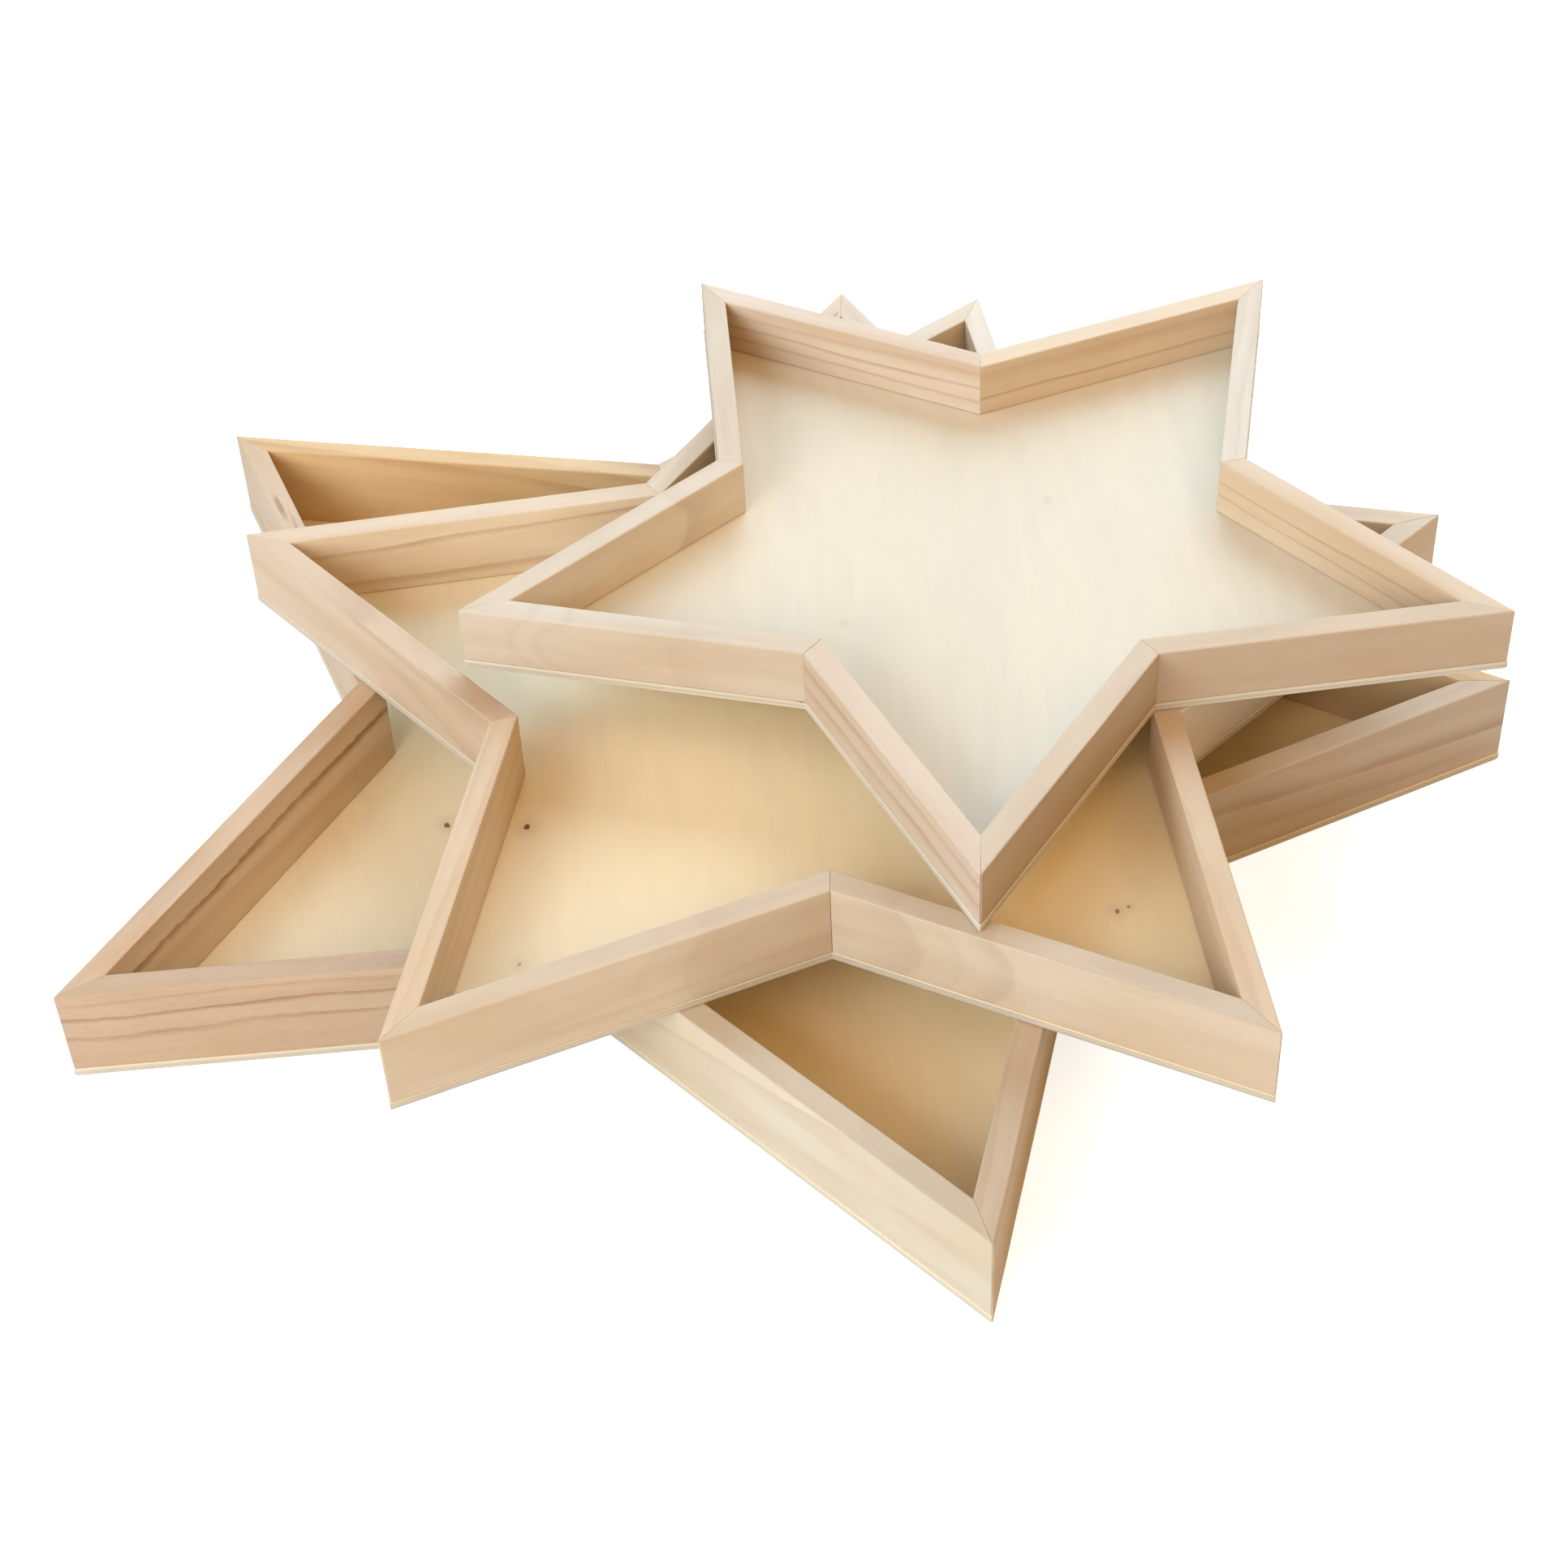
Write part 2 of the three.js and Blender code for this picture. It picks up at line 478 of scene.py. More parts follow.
class Graph:
    """A material's nodes, written as calls.

    A call such as math or mix adds a node and returns its output.
    """

    def __init__(self, name):
        self.material = bpy.data.materials.new(name)
        self.material.use_nodes = True
        self.tree = self.material.node_tree
        self.tree.nodes.clear()

    def node(self, kind, inputs=None, **settings):
        """Adds a node. Its inputs are values or other nodes' outputs, by name or number."""
        made = self.tree.nodes.new("ShaderNode" + kind)
        for name, value in settings.items():
            setattr(made, name, value)
        for key, value in (inputs or {}).items():
            self.put(made.inputs[key], value)
        return made

    def put(self, socket, value):
        """Links a node's output to the socket, or sets the socket to a value."""
        if isinstance(value, bpy.types.NodeSocket):
            self.tree.links.new(value, socket)
        else:
            socket.default_value = value

    def math(self, operation, *values):
        """A sum, product or other function of numbers, by Blender's name for it."""
        return self.node("Math", dict(enumerate(values)), operation=operation).outputs[0]

    def vector(self, operation, *values):
        """The same of vectors, where the result is a vector too."""
        return self.node("VectorMath", dict(enumerate(values)), operation=operation).outputs[0]

    def length(self, vector):
        return self.node("VectorMath", {0: vector}, operation="LENGTH").outputs["Value"]

    def total(self, *values):
        """The sum of all the values."""
        result = values[0]
        for value in values[1:]:
            result = self.math("ADD", result, value)
        return result

    def scaled(self, value, low, high):
        """A value from 0 to 1, stretched to run from low to high."""
        return self.math("MULTIPLY_ADD", value, high - low, low)

    def step(self, value, low, high):
        """0 at low, 1 at high, smooth between them and flat beyond."""
        inputs = {"Value": value, "From Min": low, "From Max": high}
        return self.node("MapRange", inputs, interpolation_type="SMOOTHSTEP").outputs[0]

    def noise(self, place, sizes, seed, detail=2.0, roughness=0.5):
        """Smooth noise from 0 to 1 with features of those sizes along x, y and z.

        Each feature of a wood adds a number of its own to the wood's seed.
        """
        scaled = self.vector("MULTIPLY", place, [1 / s for s in sizes])
        moved = self.vector("ADD", scaled, [seed * shift for shift in SEED_SHIFTS])
        inputs = {"Vector": moved, "Scale": 1.0, "Detail": detail, "Roughness": roughness}
        return self.node("TexNoise", inputs).outputs["Fac"]

    def chance(self, value, seed):
        """A number from 0 to 1 for each whole value."""
        w = self.math("ADD", value, seed)
        return self.node("TexWhiteNoise", {"W": w}, noise_dimensions="1D").outputs["Value"]

    def mix(self, share, first, second, blend="MIX"):
        """The first colour at a share of 0, the second at 1."""
        made = self.node("Mix", data_type="RGBA", blend_type=blend)
        self.put(made.inputs["Factor"], share)
        self.put(made.inputs["A"], rgba(first))
        self.put(made.inputs["B"], rgba(second))
        return made.outputs["Result"]

    def darkened(self, colour, shade):
        """A colour multiplied by a share, the same for red, green and blue."""
        grey = self.node("CombineXYZ", {0: shade, 1: shade, 2: shade}).outputs[0]
        return self.mix(1.0, colour, grey, "MULTIPLY")

    def surface(self, colour, roughness, height, relief):
        """Ends the material: height is its fine relief, from 0 to 1, relief mm deep."""
        shape = {"Height": height, "Strength": BUMP_STRENGTH, "Distance": relief * MM}
        bump = self.node("Bump", shape)
        inputs = {"Base Color": colour, "Roughness": roughness, "Normal": bump.outputs[0]}
        shader = self.node("BsdfPrincipled", inputs)
        shader.inputs["Specular IOR Level"].default_value = SPECULAR_LEVEL
        output = self.node("OutputMaterial")
        self.tree.links.new(shader.outputs[0], output.inputs["Surface"])
        return self.material


def rgba(colour):
    """A colour as Blender's inputs take it. A node's output stays as it is."""
    return (*colour, 1.0) if isinstance(colour, tuple) else colour


def tinted(colour, *factors):
    """A colour with its red, green and blue multiplied by the factors."""
    return tuple(c * f for c, f in zip(colour, factors))


# The boards' colours, and what multiplies them in pale, warm and late wood and in marks.
# honey and amber, the most orange, are partly painted shade: they go to boards whose inner
# faces lie in shade and stand for the orange of light bounced there. PALE_LINE and DARK_MARK
# also colour the painted light and shade of the top bands.
TONES = {
    "ivory": (0.575, 0.50, 0.37),
    "cream": (0.61, 0.51, 0.38),
    "straw": (0.60, 0.485, 0.345),
    "pink": (0.605, 0.475, 0.345),
    "tan": (0.61, 0.465, 0.315),
    "honey": (0.63, 0.475, 0.308),
    "amber": (0.675, 0.475, 0.255),
    "brown": (0.565, 0.45, 0.325),
    "russet": (0.60, 0.43, 0.28),
}
PALE_WOOD = (1.05, 1.075, 1.12)
WARM_WOOD = (0.96, 0.91, 0.85)
LATE_WOOD = (0.66, 0.50, 0.40)
PALE_LINE = (1.25, 1.3, 1.35)
DARK_MARK = (0.48, 0.29, 0.20)
KNOT = (0.17, 0.065, 0.018)
# The veneer's warm colour is partly painted shade: the orange of light bounced onto panels in shade.
PLY_WARM = (0.92, 0.735, 0.43)
PLY_CORE = (0.56, 0.49, 0.38)


def board_look(tone="straw", **changes):
    """How a rail's board looks; what isn't given is an ordinary board's.

    pith is where the tree's middle lies, in the rail's y and z; taper is how fast the rings
    close in along x; spacing is a ring's width; late is how dark its late wood is; wave is how
    far the rings wander; figure is the stretch of x where the rings show; fibre is how strong
    its fine grain is. tone and shade are its colour and a factor on it, partly painted light and
    shade. stripes, arches and flecks are darker than the board, and pale stripes are lighter;
    the bands along the tops among them are painted light and shade. Lengths are in mm.
    """
    look = {
        "tone": tone,
        "shade": 1.0,
        "pith": (40.0, 10.0),
        "taper": 0.02,
        "spacing": 4.0,
        "late": 0.2,
        "wave": 3.0,
        "figure": (-20.0, 200.0),
        "stripes": (),
        "pale": (),
        "arches": (),
        "flecks": (),
        "fibre": 1.0,
        "seed": 1.0,
    }
    look.update(changes)
    return look


def stripe(height, rise=0.0, tilt=0.0, width=0.5, dark=0.3, rough=0.3, wander=1.6):
    """A line along a board: its height at the tip's outer corner, and how much it rises for
    each mm along the board and for each mm into it. It is sharp above and fades out below, or
    the other way round where its width is negative.
    """
    return {
        "height": height,
        "rise": rise,
        "tilt": tilt,
        "width": width,
        "dark": dark,
        "rough": rough,
        "wander": wander,
    }


def painted_top_shading(height, dark):
    """Painted light and shade along the top of a board of that height, in a drawn stripe's terms:
    among the pale stripes it makes the top lighter than the sides, among the dark ones darker.
    """
    return stripe(height, width=0.2, dark=dark, rough=0.0, wander=0.0)


def arch(x, z, bend, reach, dark):
    """A band across a board where a ring's nose comes out: it starts at x, sharp, and fades
    out within reach towards the notch. Above and below z it bends away from the tip.
    """
    return {"x": x, "z": z, "bend": bend, "reach": reach, "dark": dark}


def fleck(x, y, z, length, width, dark):
    """A dark mark in a board, long with the grain. One long one, over a whole inner face, is
    painted shade.
    """
    return {"middle": (x, y, z), "reach": (length, width, width), "dark": dark}


def growth_rings(g, place, split, look):
    """The rings that the board's faces cut: (how much late wood, ring's own number)."""
    seed = look["seed"]
    pith_y, pith_z = look["pith"]
    dy = g.math("SUBTRACT", split["Y"], pith_y)
    dz = g.math("SUBTRACT", split["Z"], pith_z)
    radius = g.math("SQRT", g.total(g.math("MULTIPLY", dy, dy), g.math("MULTIPLY", dz, dz)))
    lean = g.math("MULTIPLY", split["X"], look["taper"])
    wander = g.scaled(g.noise(place, RING_WANDER, seed), -look["wave"], look["wave"])
    jitter = g.scaled(g.noise(place, RING_JITTER, seed + 7, 3.0), -JITTER_REACH, JITTER_REACH)
    rings = g.math("DIVIDE", g.total(radius, lean, wander, jitter), look["spacing"])
    number = g.math("FLOOR", rings)
    phase = g.math("FRACT", rings)
    late = g.math("MULTIPLY", g.step(phase, *LATE_RISE), g.step(phase, *LATE_FALL))
    weight = g.scaled(g.chance(number, seed), *RING_WEIGHTS)
    patchy = g.step(g.noise(place, RING_PATCHES, seed + 71), *PATCH_EDGE)
    patchy = g.scaled(patchy, *PATCH_WEIGHTS)
    start, end = look["figure"]
    fade_in = g.step(split["X"], start - FIGURE_FADE, start + FIGURE_FADE)
    fade_out = g.step(split["X"], end + FIGURE_FADE, end - FIGURE_FADE)
    for share in (weight, patchy, fade_in, fade_out):
        late = g.math("MULTIPLY", late, share)
    return late, number


def drawn_lines(g, place, split, stripes, seed):
    """How strong the stripes are at each place, from 0 to 1."""
    wander = g.scaled(g.noise(place, STRIPE_WANDER, seed + 83, 1.0), -1.0, 1.0)
    ragged = g.scaled(g.noise(place, RAGGED_EDGE, seed + 97, 2.0), -1.0, 1.0)
    strength = g.scaled(g.noise(place, STRIPE_FADING, seed + 89, 1.0), *STRIPE_STRENGTHS)
    dark = 0.0
    for mark in stripes:
        level = g.math("MULTIPLY_ADD", split["X"], mark["rise"], mark["height"])
        level = g.math("MULTIPLY_ADD", split["Y"], mark["tilt"], level)
        level = g.math("MULTIPLY_ADD", wander, mark["wander"], level)
        offset = g.math("SUBTRACT", split["Z"], level)
        offset = g.math("MULTIPLY_ADD", ragged, mark["rough"] * mark["width"], offset)
        offset = g.math("DIVIDE", offset, mark["width"])
        below = g.step(offset, *STRIPE_TAIL)
        above = g.step(offset, *STRIPE_EDGE)
        line = g.math("MULTIPLY", g.math("MULTIPLY", below, above), strength)
        dark = g.math("MAXIMUM", dark, g.math("MULTIPLY", line, mark["dark"]))
    return g.math("MINIMUM", dark, 1.0)


def drawn_arches(g, place, split, arches, seed):
    """How strong the arches are at each place, from 0 to 1."""
    wander = g.noise(place, ARCH_WANDER, seed + 61, 2.0)
    wander = g.scaled(wander, -ARCH_WANDER_REACH, ARCH_WANDER_REACH)
    dark = 0.0
    for mark in arches:
        dz = g.math("SUBTRACT", split["Z"], mark["z"])
        bent = g.math("MULTIPLY", g.math("MULTIPLY", dz, dz), mark["bend"])
        offset = g.math("SUBTRACT", g.math("SUBTRACT", split["X"], mark["x"]), bent)
        offset = g.math("ADD", offset, wander)
        start = g.step(offset, *ARCH_EDGE)
        fading = g.step(offset, mark["reach"], ARCH_EDGE[1])
        band = g.math("MULTIPLY", start, fading)
        dark = g.math("MAXIMUM", dark, g.math("MULTIPLY", band, mark["dark"]))
    return dark


def drawn_flecks(g, place, flecks, seed):
    """How strong the flecks are at each place, from 0 to 1."""
    ragged = g.noise(place, RAGGED_EDGE, seed + 97, 2.0)
    ragged = g.scaled(ragged, -FLECK_RAGGED, FLECK_RAGGED)
    dark = 0.0
    for mark in flecks:
        away = g.vector("SUBTRACT", place, mark["middle"])
        away = g.length(g.vector("DIVIDE", away, mark["reach"]))
        away = g.math("ADD", ragged, away)
        spot = g.math("MULTIPLY", g.step(away, *FLECK_EDGE), mark["dark"])
        dark = g.math("MAXIMUM", dark, spot)
    return dark


def drawn_marks(g, place, split, look):
    """The board's stripes, arches and flecks, as how dark they make it, from 0 to 1: its own grain
    marks, and painted shade in the dark bands along some tops and in one long fleck.
    """
    lines = drawn_lines(g, place, split, look["stripes"], look["seed"])
    arches = drawn_arches(g, place, split, look["arches"], look["seed"])
    flecks = drawn_flecks(g, place, look["flecks"], look["seed"])
    return g.math("MAXIMUM", lines, g.math("MAXIMUM", arches, flecks))


def solid_wood(name, look):
    """Solid sawn wood: growth rings cut by the board's faces, streaks, fibres and pores.

    It starts from the board's tone, then adds the rings, the pale stripes and the dark marks.
    """
    g = Graph(name)
    place = g.node("Attribute", attribute_name="grain").outputs["Vector"]
    split = g.node("SeparateXYZ", {"Vector": place}).outputs
    seed = look["seed"]
    late, ring = growth_rings(g, place, split, look)
    marks = drawn_marks(g, place, split, look)
    broad = g.noise(place, BROAD_TONE, seed + 19, 2.0)
    patch = g.noise(place, TONE_PATCHES, seed + 13, 2.0)
    streak = g.noise(place, STREAKS, seed + 31, 3.0)
    fibre = g.noise(place, FIBRES, seed + 43, 3.0, 0.65)
    pores = g.step(g.noise(place, PORES, seed + 57, 1.0), *PORE_EDGE)

    tone = tinted(TONES[look["tone"]], *[look["shade"]] * 3)
    warmth = g.total(
        g.scaled(broad, *BROAD_WARMTH),
        g.scaled(patch, *PATCH_WARMTH),
        g.scaled(streak, *STREAK_WARMTH),
        g.scaled(g.chance(ring, seed + 3), *RING_WARMTH),
    )
    colour = g.mix(g.step(warmth, 0.0, 1.0), tinted(tone, *PALE_WOOD), tinted(tone, *WARM_WOOD))
    late_colour = tinted(tone, *LATE_WOOD)
    colour = g.mix(g.math("MULTIPLY", late, look["late"]), colour, late_colour)
    # The pale stripes include painted light on some boards' tops; the dark marks include painted shade
    # on other tops and on one inner face.
    pale = drawn_lines(g, place, split, look["pale"], seed)
    colour = g.mix(pale, colour, tinted(tone, *PALE_LINE))
    colour = g.mix(marks, colour, tinted(tone, *DARK_MARK))
    swing = FIBRE_LIGHTNESS * look["fibre"]
    shade = g.total(
        WOOD_LIGHTNESS,
        g.math("MULTIPLY", streak, STREAK_LIGHTNESS),
        g.scaled(fibre, FIBRE_LIGHTNESS - swing, FIBRE_LIGHTNESS + swing),
        g.math("MULTIPLY", pores, PORE_LIGHTNESS * look["fibre"]),
    )
    height = g.total(
        g.math("MULTIPLY", fibre, FIBRE_HEIGHT),
        g.math("MULTIPLY", late, LATE_HEIGHT),
        g.math("MULTIPLY", pores, PORE_HEIGHT),
        g.math("MULTIPLY", marks, MARK_HEIGHT),
    )
    colour = g.darkened(colour, shade)
    return g.surface(colour, g.scaled(fibre, *WOOD_ROUGHNESS), height, WOOD_RELIEF)


def plywood(name, look, seed, thickness):
    """A thin plywood panel: pale peeled veneer, pin knots, and three plies on its edge."""
    g = Graph(name)
    place = g.node("Attribute", attribute_name="grain").outputs["Vector"]
    split = g.node("SeparateXYZ", {"Vector": place}).outputs
    broad = g.noise(place, VENEER_TONE, seed, 2.0)
    streak = g.noise(place, VENEER_STREAKS, seed + 11, 3.0, 0.55)
    fibre = g.noise(place, VENEER_FIBRES, seed + 23, 3.0, 0.65)
    flame = g.noise(place, VENEER_FLAMES, seed + 37, 2.0)
    watered = g.math("PINGPONG", g.math("MULTIPLY", flame, FLAME_BANDS), 1.0)
    ragged = g.noise(place, VENEER_KNOT_EDGE, seed + 41, 2.0)
    # The drift across the grain is painted light and shade: paler on one side, warmer on the other.
    warmth = g.total(
        g.math("MULTIPLY_ADD", split["Y"], look["painted_light_drift"], look["warm"]),
        g.scaled(broad, *VENEER_TONE_WARMTH),
        g.scaled(streak, *VENEER_STREAK_WARMTH),
    )
    face = g.mix(warmth, look["pale"], PLY_WARM)
    dark = 0.0
    for x, y, size, strength in look["knots"]:
        away = g.vector("SUBTRACT", g.vector("MULTIPLY", place, (1.0, 1.0, 0.0)), (x, y, 0.0))
        reach = g.vector("MULTIPLY", away, (KNOT_NARROWING / size, 1.0 / size, 0.0))
        reach = g.math("ADD", g.length(reach), g.scaled(ragged, *KNOT_RAGGED))
        core = g.math("MULTIPLY", g.step(reach, *KNOT_EDGE), strength)
        halo = g.math("MULTIPLY", g.step(reach, *HALO_EDGE), HALO_STRENGTH * strength)
        dark = g.math("MAXIMUM", dark, g.math("MAXIMUM", core, halo))
    face = g.mix(dark, face, KNOT)
    from_middle = g.math("ABSOLUTE", g.math("SUBTRACT", split["Z"], thickness / 2))
    start, end = [thickness * share for share in FACE_PLIES]
    face = g.mix(g.step(from_middle, start, end), face, look["edge"])
    start, end = [thickness * share for share in CORE_PLY]
    core = g.step(from_middle, start, end)
    colour = g.mix(core, face, PLY_CORE)
    shade = g.total(
        VENEER_LIGHTNESS,
        g.math("MULTIPLY", fibre, VENEER_FIBRE_LIGHTNESS),
        g.math("MULTIPLY", streak, VENEER_STREAK_LIGHTNESS),
        g.math("MULTIPLY", watered, VENEER_FLAME_LIGHTNESS),
    )
    height = g.total(
        g.math("MULTIPLY", fibre, FIBRE_HEIGHT),
        g.math("MULTIPLY", dark, KNOT_HEIGHT),
    )
    colour = g.darkened(colour, shade)
    return g.surface(colour, g.scaled(fibre, *VENEER_ROUGHNESS), height, VENEER_RELIEF)


# --- how each tray's boards and panel look ---
WOOD_SEEDS = 90  # a wood's pattern is drawn from this many places in the noise

# The rails' heights, in mm.
LARGE_TOP = 27.4
MEDIUM_TOP = 22.4
SMALL_TOP = 17.4

# Each rail's board, with its colour and the marks that it shows. A board's tone and shade are
# partly its own colour and partly painted light and shade: they are raised or lowered so that
# its faces come out lighter or darker as the light falls on them.
LOOKS = {
    "large_point1_left": board_look(
        "straw", shade=0.98, late=0.25, stripes=[painted_top_shading(LARGE_TOP, 0.2)], seed=3.1,
    ),
    "large_point1_right": board_look(
        "ivory", pith=(-8, -60), taper=0.18, spacing=13.5, late=0.15, wave=2.0,
        stripes=[stripe(34.0, rise=-0.14, width=0.7, dark=0.2), painted_top_shading(LARGE_TOP, 0.13)],
        pale=[stripe(34.4, rise=-0.14, width=-2.6, dark=0.3)], seed=8.2,
    ),
    "large_point2_left": board_look("amber", shade=0.95, spacing=5.0, late=0.35, seed=12.4),
    "large_point2_right": board_look(
        "brown", shade=0.92, pith=(-24, 44), taper=0.06, spacing=7.0, late=0.6, wave=2.5,
        pale=[stripe(9.0, rise=0.08, width=-0.8, dark=0.25), painted_top_shading(LARGE_TOP, 0.7)], seed=15.7,
    ),
    "large_point3_left": board_look("cream", shade=1.12, seed=19.3),
    "large_point3_right": board_look("cream", shade=1.12, seed=21.8),
    "large_point4_left": board_look(
        "tan", shade=0.96, pith=(12, -20), taper=0.05, spacing=6.0, late=0.3, seed=26.5,
        flecks=[
            fleck(9, 6.5, LARGE_TOP, 4, 0.8, 0.7),
            fleck(46, 3, LARGE_TOP, 10, 1.4, 0.6),
            fleck(62, 5, LARGE_TOP, 16, 0.9, 0.35),
        ],
    ),
    "large_point4_right": board_look(
        "amber", shade=1.0, pith=(20, 8), taper=0.08, spacing=5.5, late=0.6, wave=4.0, seed=29.9,
    ),
    "large_point5_left": board_look(
        "russet", shade=0.83, pith=(-13, 39), taper=0.03, spacing=6.2, late=0.12, wave=2.2,
        stripes=[
            stripe(24.0, rise=0.01, width=0.5, dark=0.22, rough=1.4, wander=3.0),
            stripe(18.5, rise=0.02, width=0.5, dark=0.52, rough=1.2, wander=3.0),
            stripe(11.3, rise=0.03, width=0.5, dark=0.4, rough=1.2, wander=3.0),
        ],
        fibre=2.4, seed=33.3,
    ),
    "large_point5_right": board_look(
        "tan", shade=1.09, pith=(-30, -25), spacing=9.0, late=0.25,
        stripes=[
            painted_top_shading(LARGE_TOP, 0.08),
            stripe(19.0, width=1.0, dark=0.8, rough=1.6, wander=1.0),
            stripe(28.0, width=2.2, dark=0.3, rough=0.5),
        ],
        seed=38.1,
    ),
    "medium_point1_left": board_look(
        "honey", shade=0.99, pith=(25, -20), late=0.25,
        # its long fleck is painted shade: it darkens the board's whole inner face
        flecks=[fleck(80, 12, 9, 200, 14, 0.15)], seed=41.6,
    ),
    "medium_point1_right": board_look(
        "straw", shade=1.0, pith=(30, -30), spacing=9.0, late=0.15, stripes=[painted_top_shading(MEDIUM_TOP, 0.1)],
        arches=[
            arch(96, 10, 0.05, 20, 0.15),
            arch(84, 10, 0.05, 6, 0.06),
            arch(70, 11, 0.05, 12, 0.17),
        ],
        flecks=[fleck(34, 5, 24, 30, 7, 0.2)], seed=44.4,
    ),
    "medium_point2_left": board_look("cream", shade=1.11, seed=47.2),
    "medium_point2_right": board_look("cream", shade=1.08, seed=49.0),
    "medium_point3_left": board_look(
        "straw", shade=1.14, flecks=[fleck(14, 5.5, MEDIUM_TOP, 4, 1.0, 0.45)], seed=52.9,
    ),
    "medium_point3_right": board_look("cream", shade=1.1, seed=55.5),
    "medium_point4_left": board_look(
        "tan", shade=0.94, pith=(14, 30), taper=-0.3, spacing=11.0, late=0.3, wave=2.0,
        figure=(70, 200),
        stripes=[stripe(26.3, rise=-0.07, width=0.8, dark=0.2)],
        pale=[painted_top_shading(MEDIUM_TOP, 0.35)],
        flecks=[fleck(112, 4, MEDIUM_TOP, 20, 9, 0.3)], seed=58.3,
    ),
    "medium_point4_right": board_look(
        "straw", shade=1.19, pith=(30, 60), spacing=9.0, late=0.1,
        stripes=[
            painted_top_shading(MEDIUM_TOP, 0.15),
            stripe(15.0, rise=0.035, width=0.55, dark=0.42),
            stripe(3.5, rise=0.02, width=0.8, dark=0.4),
        ],
        seed=61.7,
    ),
    "medium_point5_left": board_look(
        "straw", pith=(30, 40), spacing=9.0, late=0.15,
        stripes=[stripe(5.0, rise=0.01, width=1.2, dark=0.1, rough=0.1)],
        arches=[arch(80, 9, 0.04, 25, 0.09), arch(66, 9, 0.05, 6, 0.05)], seed=64.2,
    ),
    "medium_point5_right": board_look("honey", pith=(30, 30), late=0.3, seed=67.8),
    "small_point1_left": board_look(
        "tan", shade=0.81, pith=(-40, 30), late=0.3, pale=[painted_top_shading(SMALL_TOP, 1.0)], seed=70.4,
    ),
    "small_point1_right": board_look(
        "pink", shade=0.98, pith=(-50, -30), spacing=9.0, late=0.1, pale=[painted_top_shading(SMALL_TOP, 0.4)],
        stripes=[
            stripe(6.5, width=0.9, dark=0.28),
            stripe(13.2, width=1.0, dark=0.3),
        ],
        seed=73.6,
    ),
    "small_point2_left": board_look(
        "honey", shade=1.01, pith=(30, -60), spacing=9.0, late=0.1,
        stripes=[
            stripe(5.5, width=0.35, dark=0.28),
            stripe(10.5, width=0.4, dark=0.33),
        ],
        seed=76.1,
    ),
    "small_point2_right": board_look(
        "tan", shade=0.87, pith=(-60, 20), spacing=8.0, late=0.2, pale=[painted_top_shading(SMALL_TOP, 0.6)],
        seed=79.3,
    ),
    "small_point3_left": board_look(
        "honey", shade=0.97, pith=(60, 20), spacing=9.0, late=0.1, pale=[painted_top_shading(SMALL_TOP, 0.5)],
        stripes=[
            stripe(6.0, width=0.45, dark=0.42),
            stripe(13.8, width=1.2, dark=0.15),
        ],
        seed=82.5,
    ),
    "small_point3_right": board_look("cream", shade=1.02, seed=84.9),
    "small_point4_left": board_look("straw", shade=0.97, seed=87.7),
    "small_point4_right": board_look(
        "pink", shade=1.06, pith=(60, -10), spacing=9.0, late=0.1,
        stripes=[
            stripe(4.5, width=0.4, dark=0.3),
            stripe(8.5, rise=0.01, width=0.45, dark=0.38),
            stripe(13.0, rise=0.02, width=0.7, dark=0.18),
        ],
        seed=91.2,
    ),
    "small_point5_left": board_look(
        "cream", shade=0.98, pith=(30, 30), spacing=8.0, late=0.15, pale=[painted_top_shading(SMALL_TOP, 0.25)],
        arches=[arch(13, 9, 0.1, 4, 0.08), arch(21, 8, 0.1, 5, 0.09), arch(60, 9, 0.05, 14, 0.06)],
        seed=94.8,
    ),
    "small_point5_right": board_look(
        "cream", shade=1.09, pith=(30, -30), spacing=9.0, late=0.1, stripes=[painted_top_shading(SMALL_TOP, 0.14)],
        arches=[arch(80, 9, -0.06, 18, 0.2)], seed=97.4,
    ),
}

# How each tray's panel looks. heading is the way its veneer's grain runs, in degrees from +X;
# warm is its share of warm colour at the middle, and the drift that share's change for each mm
# across the grain. The drift is painted light and shade: the panel is paler to the left, where
# the light comes in, and warmer to the right, in shade. On the large and medium panels, which
# lie in the shade of the trays above, the high warm share is partly painted shade too. A knot
# is its place along and across the grain, radius and darkness.
PANELS = {
    "large": {
        "heading": 88,
        "pale": (0.84, 0.765, 0.58),
        "warm": 0.84,
        "painted_light_drift": -0.003,
        "edge": (0.59, 0.545, 0.45),
        "knots": [(-6.0, 94.8, 1.1, 0.9)],
    },
    "medium": {
        "heading": 80,
        "pale": (0.76, 0.695, 0.54),
        "warm": 0.88,
        "painted_light_drift": -0.004,
        "edge": (0.53, 0.46, 0.365),
        "knots": [
            (-39.0, 90.7, 1.2, 1.0),
            (-92.5, 94.4, 0.7, 0.5),
            (-94.2, -64.5, 0.9, 0.8),
            (-93.0, -67.8, 0.7, 0.7),
        ],
    },
    "small": {
        "heading": 76,
        "pale": (0.665, 0.60, 0.475),
        "warm": 0.14,
        "painted_light_drift": 0.0,
        "edge": (0.66, 0.59, 0.46),
        "knots": [(26.7, -22.2, 2.2, 0.09), (-27.6, 40.9, 2.4, 0.08), (-61.3, 54.2, 1.0, 0.8)],
    },
}


# --- building the trays ---
def dress(piece, node, material):
    """Gives a finished piece its wood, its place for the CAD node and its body."""
    piece.data.materials.append(material)
    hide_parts(node)
    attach(piece, BODY_OF[node])


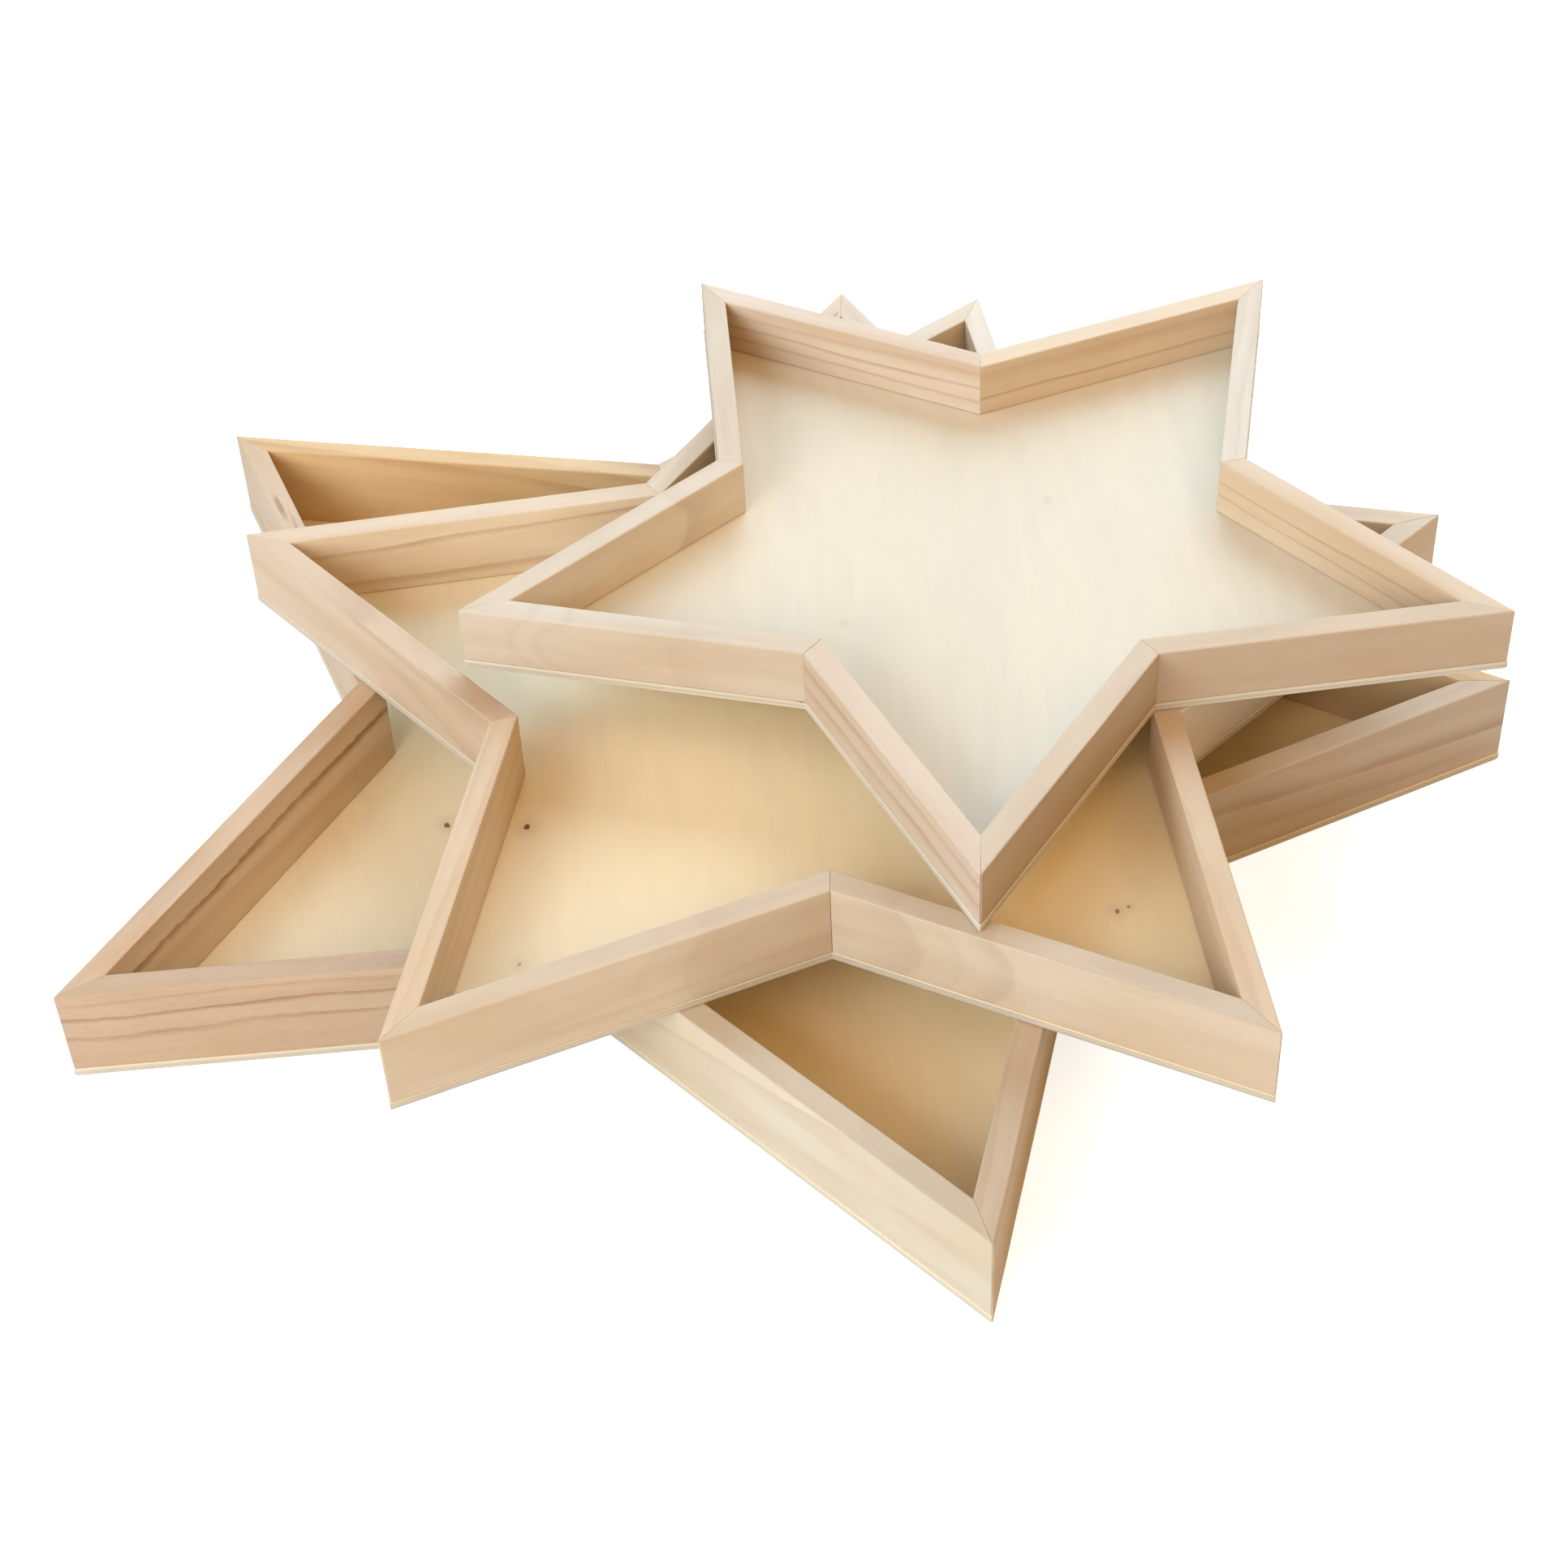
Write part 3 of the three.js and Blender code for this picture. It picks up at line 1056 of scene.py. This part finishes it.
def make_tray(tray):
    """Builds a tray: its panel, then its rails point by point.

    A board that LOOKS leaves out is an ordinary one. Its seed is drawn for every board, so
    that adding one to LOOKS changes no other.
    """
    rng = random.Random(f"{tray} tray")
    node = f"{tray}_base_panel"
    low, high = levels(node)
    look = PANELS[tray]
    ply = plywood(f"{tray}_plywood", look, rng.uniform(0, WOOD_SEEDS), high - low)
    dress(panel_mesh(tray, node, look["heading"]), node, ply)
    for point in range(1, POINTS + 1):
        for side in SIDES:
            board = f"{tray}_point{point}_{side}"
            node = f"{board}_rail"
            ordinary = board_look("straw", seed=rng.uniform(0, WOOD_SEEDS))
            look = LOOKS.get(board, ordinary)
            wood = solid_wood(f"{board}_wood", look)
            dress(rail_mesh(RailFrame(tray, node), node, rng), node, wood)


for tray in TRAYS:
    make_tray(tray)


# --- floor, light and camera ---
# The lamps near the trays and the suns. Angles are in degrees, distance and size in metres.
BOXES = {
    "window_behind": {
        "azimuth": 60,
        "elevation": 34,
        "distance": 1.2,
        "size": 1.2,
        "strength": 1.27,
        "colour": (0.74, 1.0, 1.27),
    },
    "lamp_left": {
        "azimuth": -138,
        "elevation": 27,
        "distance": 1.3,
        "size": 0.8,
        "strength": 0.79,
        "colour": (0.94, 1.0, 1.05),
    },
}
SUNS = {
    "window_left": {
        "azimuth": 175,
        "elevation": 38,
        "breadth": 50,
        "strength": 0.34,
        "colour": (0.86, 1.0, 1.22),
    },
    "lamp_front": {
        "azimuth": -75,
        "elevation": 50,
        "breadth": 60,
        "strength": 0.18,
        "colour": (1.6, 1.0, 0.5),
    },
    "lamp_right": {
        "azimuth": -10,
        "elevation": 30,
        "breadth": 70,
        "strength": 0.18,
        "colour": (1.45, 1.0, 0.45),
    },
}


def camera_sees(tree, seen, unseen):
    """Mixes two shaders: seen is what the camera sees, and unseen what lights the object."""
    path = tree.nodes.new("ShaderNodeLightPath")
    mixed = tree.nodes.new("ShaderNodeMixShader")
    tree.links.new(path.outputs["Is Camera Ray"], mixed.inputs[0])
    tree.links.new(unseen.outputs[0], mixed.inputs[1])
    tree.links.new(seen.outputs[0], mixed.inputs[2])
    return mixed


def make_floor():
    """A wide white floor just below the trays."""
    mesh = bpy.data.meshes.new("floor")
    turns = ((-1, -1), (1, -1), (1, 1), (-1, 1))
    corners = [(x * FLOOR_REACH, y * FLOOR_REACH, 0) for x, y in turns]
    mesh.from_pydata(corners, [], [(0, 1, 2, 3)])
    floor = bpy.data.objects.new("floor", mesh)
    floor.location.z = cad_low.z - FLOOR_DROP
    bpy.context.scene.collection.objects.link(floor)
    g = Graph("floor_white")
    paint = {"Base Color": rgba(FLOOR_COLOUR), "Roughness": FLOOR_ROUGHNESS}
    matte = g.node("BsdfPrincipled", paint)
    glowing = g.node("BsdfPrincipled", paint)
    glowing.inputs["Emission Color"].default_value = rgba(GLOW_COLOUR)
    glowing.inputs["Emission Strength"].default_value = FLOOR_GLOW
    output = g.node("OutputMaterial")
    g.tree.links.new(camera_sees(g.tree, glowing, matte).outputs[0], output.inputs["Surface"])
    mesh.materials.append(g.material)


def aim(lamp, azimuth, elevation, distance):
    """Turns a lamp to shine at the trays. Azimuth is from +X towards +Y, in degrees."""
    a, e = math.radians(azimuth), math.radians(elevation)
    out = Vector((math.cos(a) * math.cos(e), math.sin(a) * math.cos(e), math.sin(e)))
    lamp.location = out * distance
    lamp.rotation_euler = out.to_track_quat("Z", "Y").to_euler()
    bpy.context.scene.collection.objects.link(lamp)


def soft_sun(name, azimuth, elevation, breadth, strength, colour):
    """A broad soft light from far away, breadth degrees across.

    At strength 1 a white surface facing it comes out at full white.
    """
    light = bpy.data.lights.new(name, "SUN")
    light.angle = math.radians(breadth)
    light.energy = math.pi * strength
    light.color = colour
    aim(bpy.data.objects.new(name, light), azimuth, elevation, SUN_DISTANCE)


def soft_box(name, azimuth, elevation, distance, size, strength, colour):
    """A square lamp near the trays, so that its light falls off across them.

    Strength is as for a sun. The camera doesn't see the lamp.
    """
    light = bpy.data.lights.new(name, "AREA")
    light.shape = "SQUARE"
    light.size = size
    light.energy = strength * (math.pi * distance) ** 2
    light.color = colour
    lamp = bpy.data.objects.new(name, light)
    lamp.visible_camera = False
    aim(lamp, azimuth, elevation, distance)


def make_world():
    """White to the camera, and a dim warm light to the trays."""
    world = bpy.data.worlds.new("studio")
    bpy.context.scene.world = world
    world.use_nodes = True
    tree = world.node_tree
    ambient = tree.nodes["Background"]
    ambient.inputs["Color"].default_value = rgba(AMBIENT_COLOUR)
    ambient.inputs["Strength"].default_value = AMBIENT_STRENGTH
    white = tree.nodes.new("ShaderNodeBackground")
    white.inputs["Color"].default_value = (1, 1, 1, 1)
    output = tree.nodes["World Output"]
    tree.links.new(camera_sees(tree, white, ambient).outputs[0], output.inputs["Surface"])


def make_light():
    """Cool light from windows behind and to the left, a nearly white lamp at the front left,
    and weak warm light from the front and the right.
    """
    for name, look in BOXES.items():
        soft_box(name, **look)
    for name, look in SUNS.items():
        soft_sun(name, **look)


def make_camera():
    """Looks down on the trays from the front, a little from the left."""
    camera = bpy.data.cameras.new("camera")
    camera.lens = CAMERA_LENS
    camera.sensor_width = CAMERA_SENSOR
    camera.clip_start = CAMERA_NEAR
    eye = bpy.data.objects.new("camera", camera)
    eye.location = CAMERA_PLACE
    eye.rotation_euler = [math.radians(angle) for angle in CAMERA_TURN]
    bpy.context.scene.collection.objects.link(eye)
    bpy.context.scene.camera = eye


make_floor()
make_world()
make_light()
make_camera()
bpy.context.scene.view_settings.view_transform = "Standard"
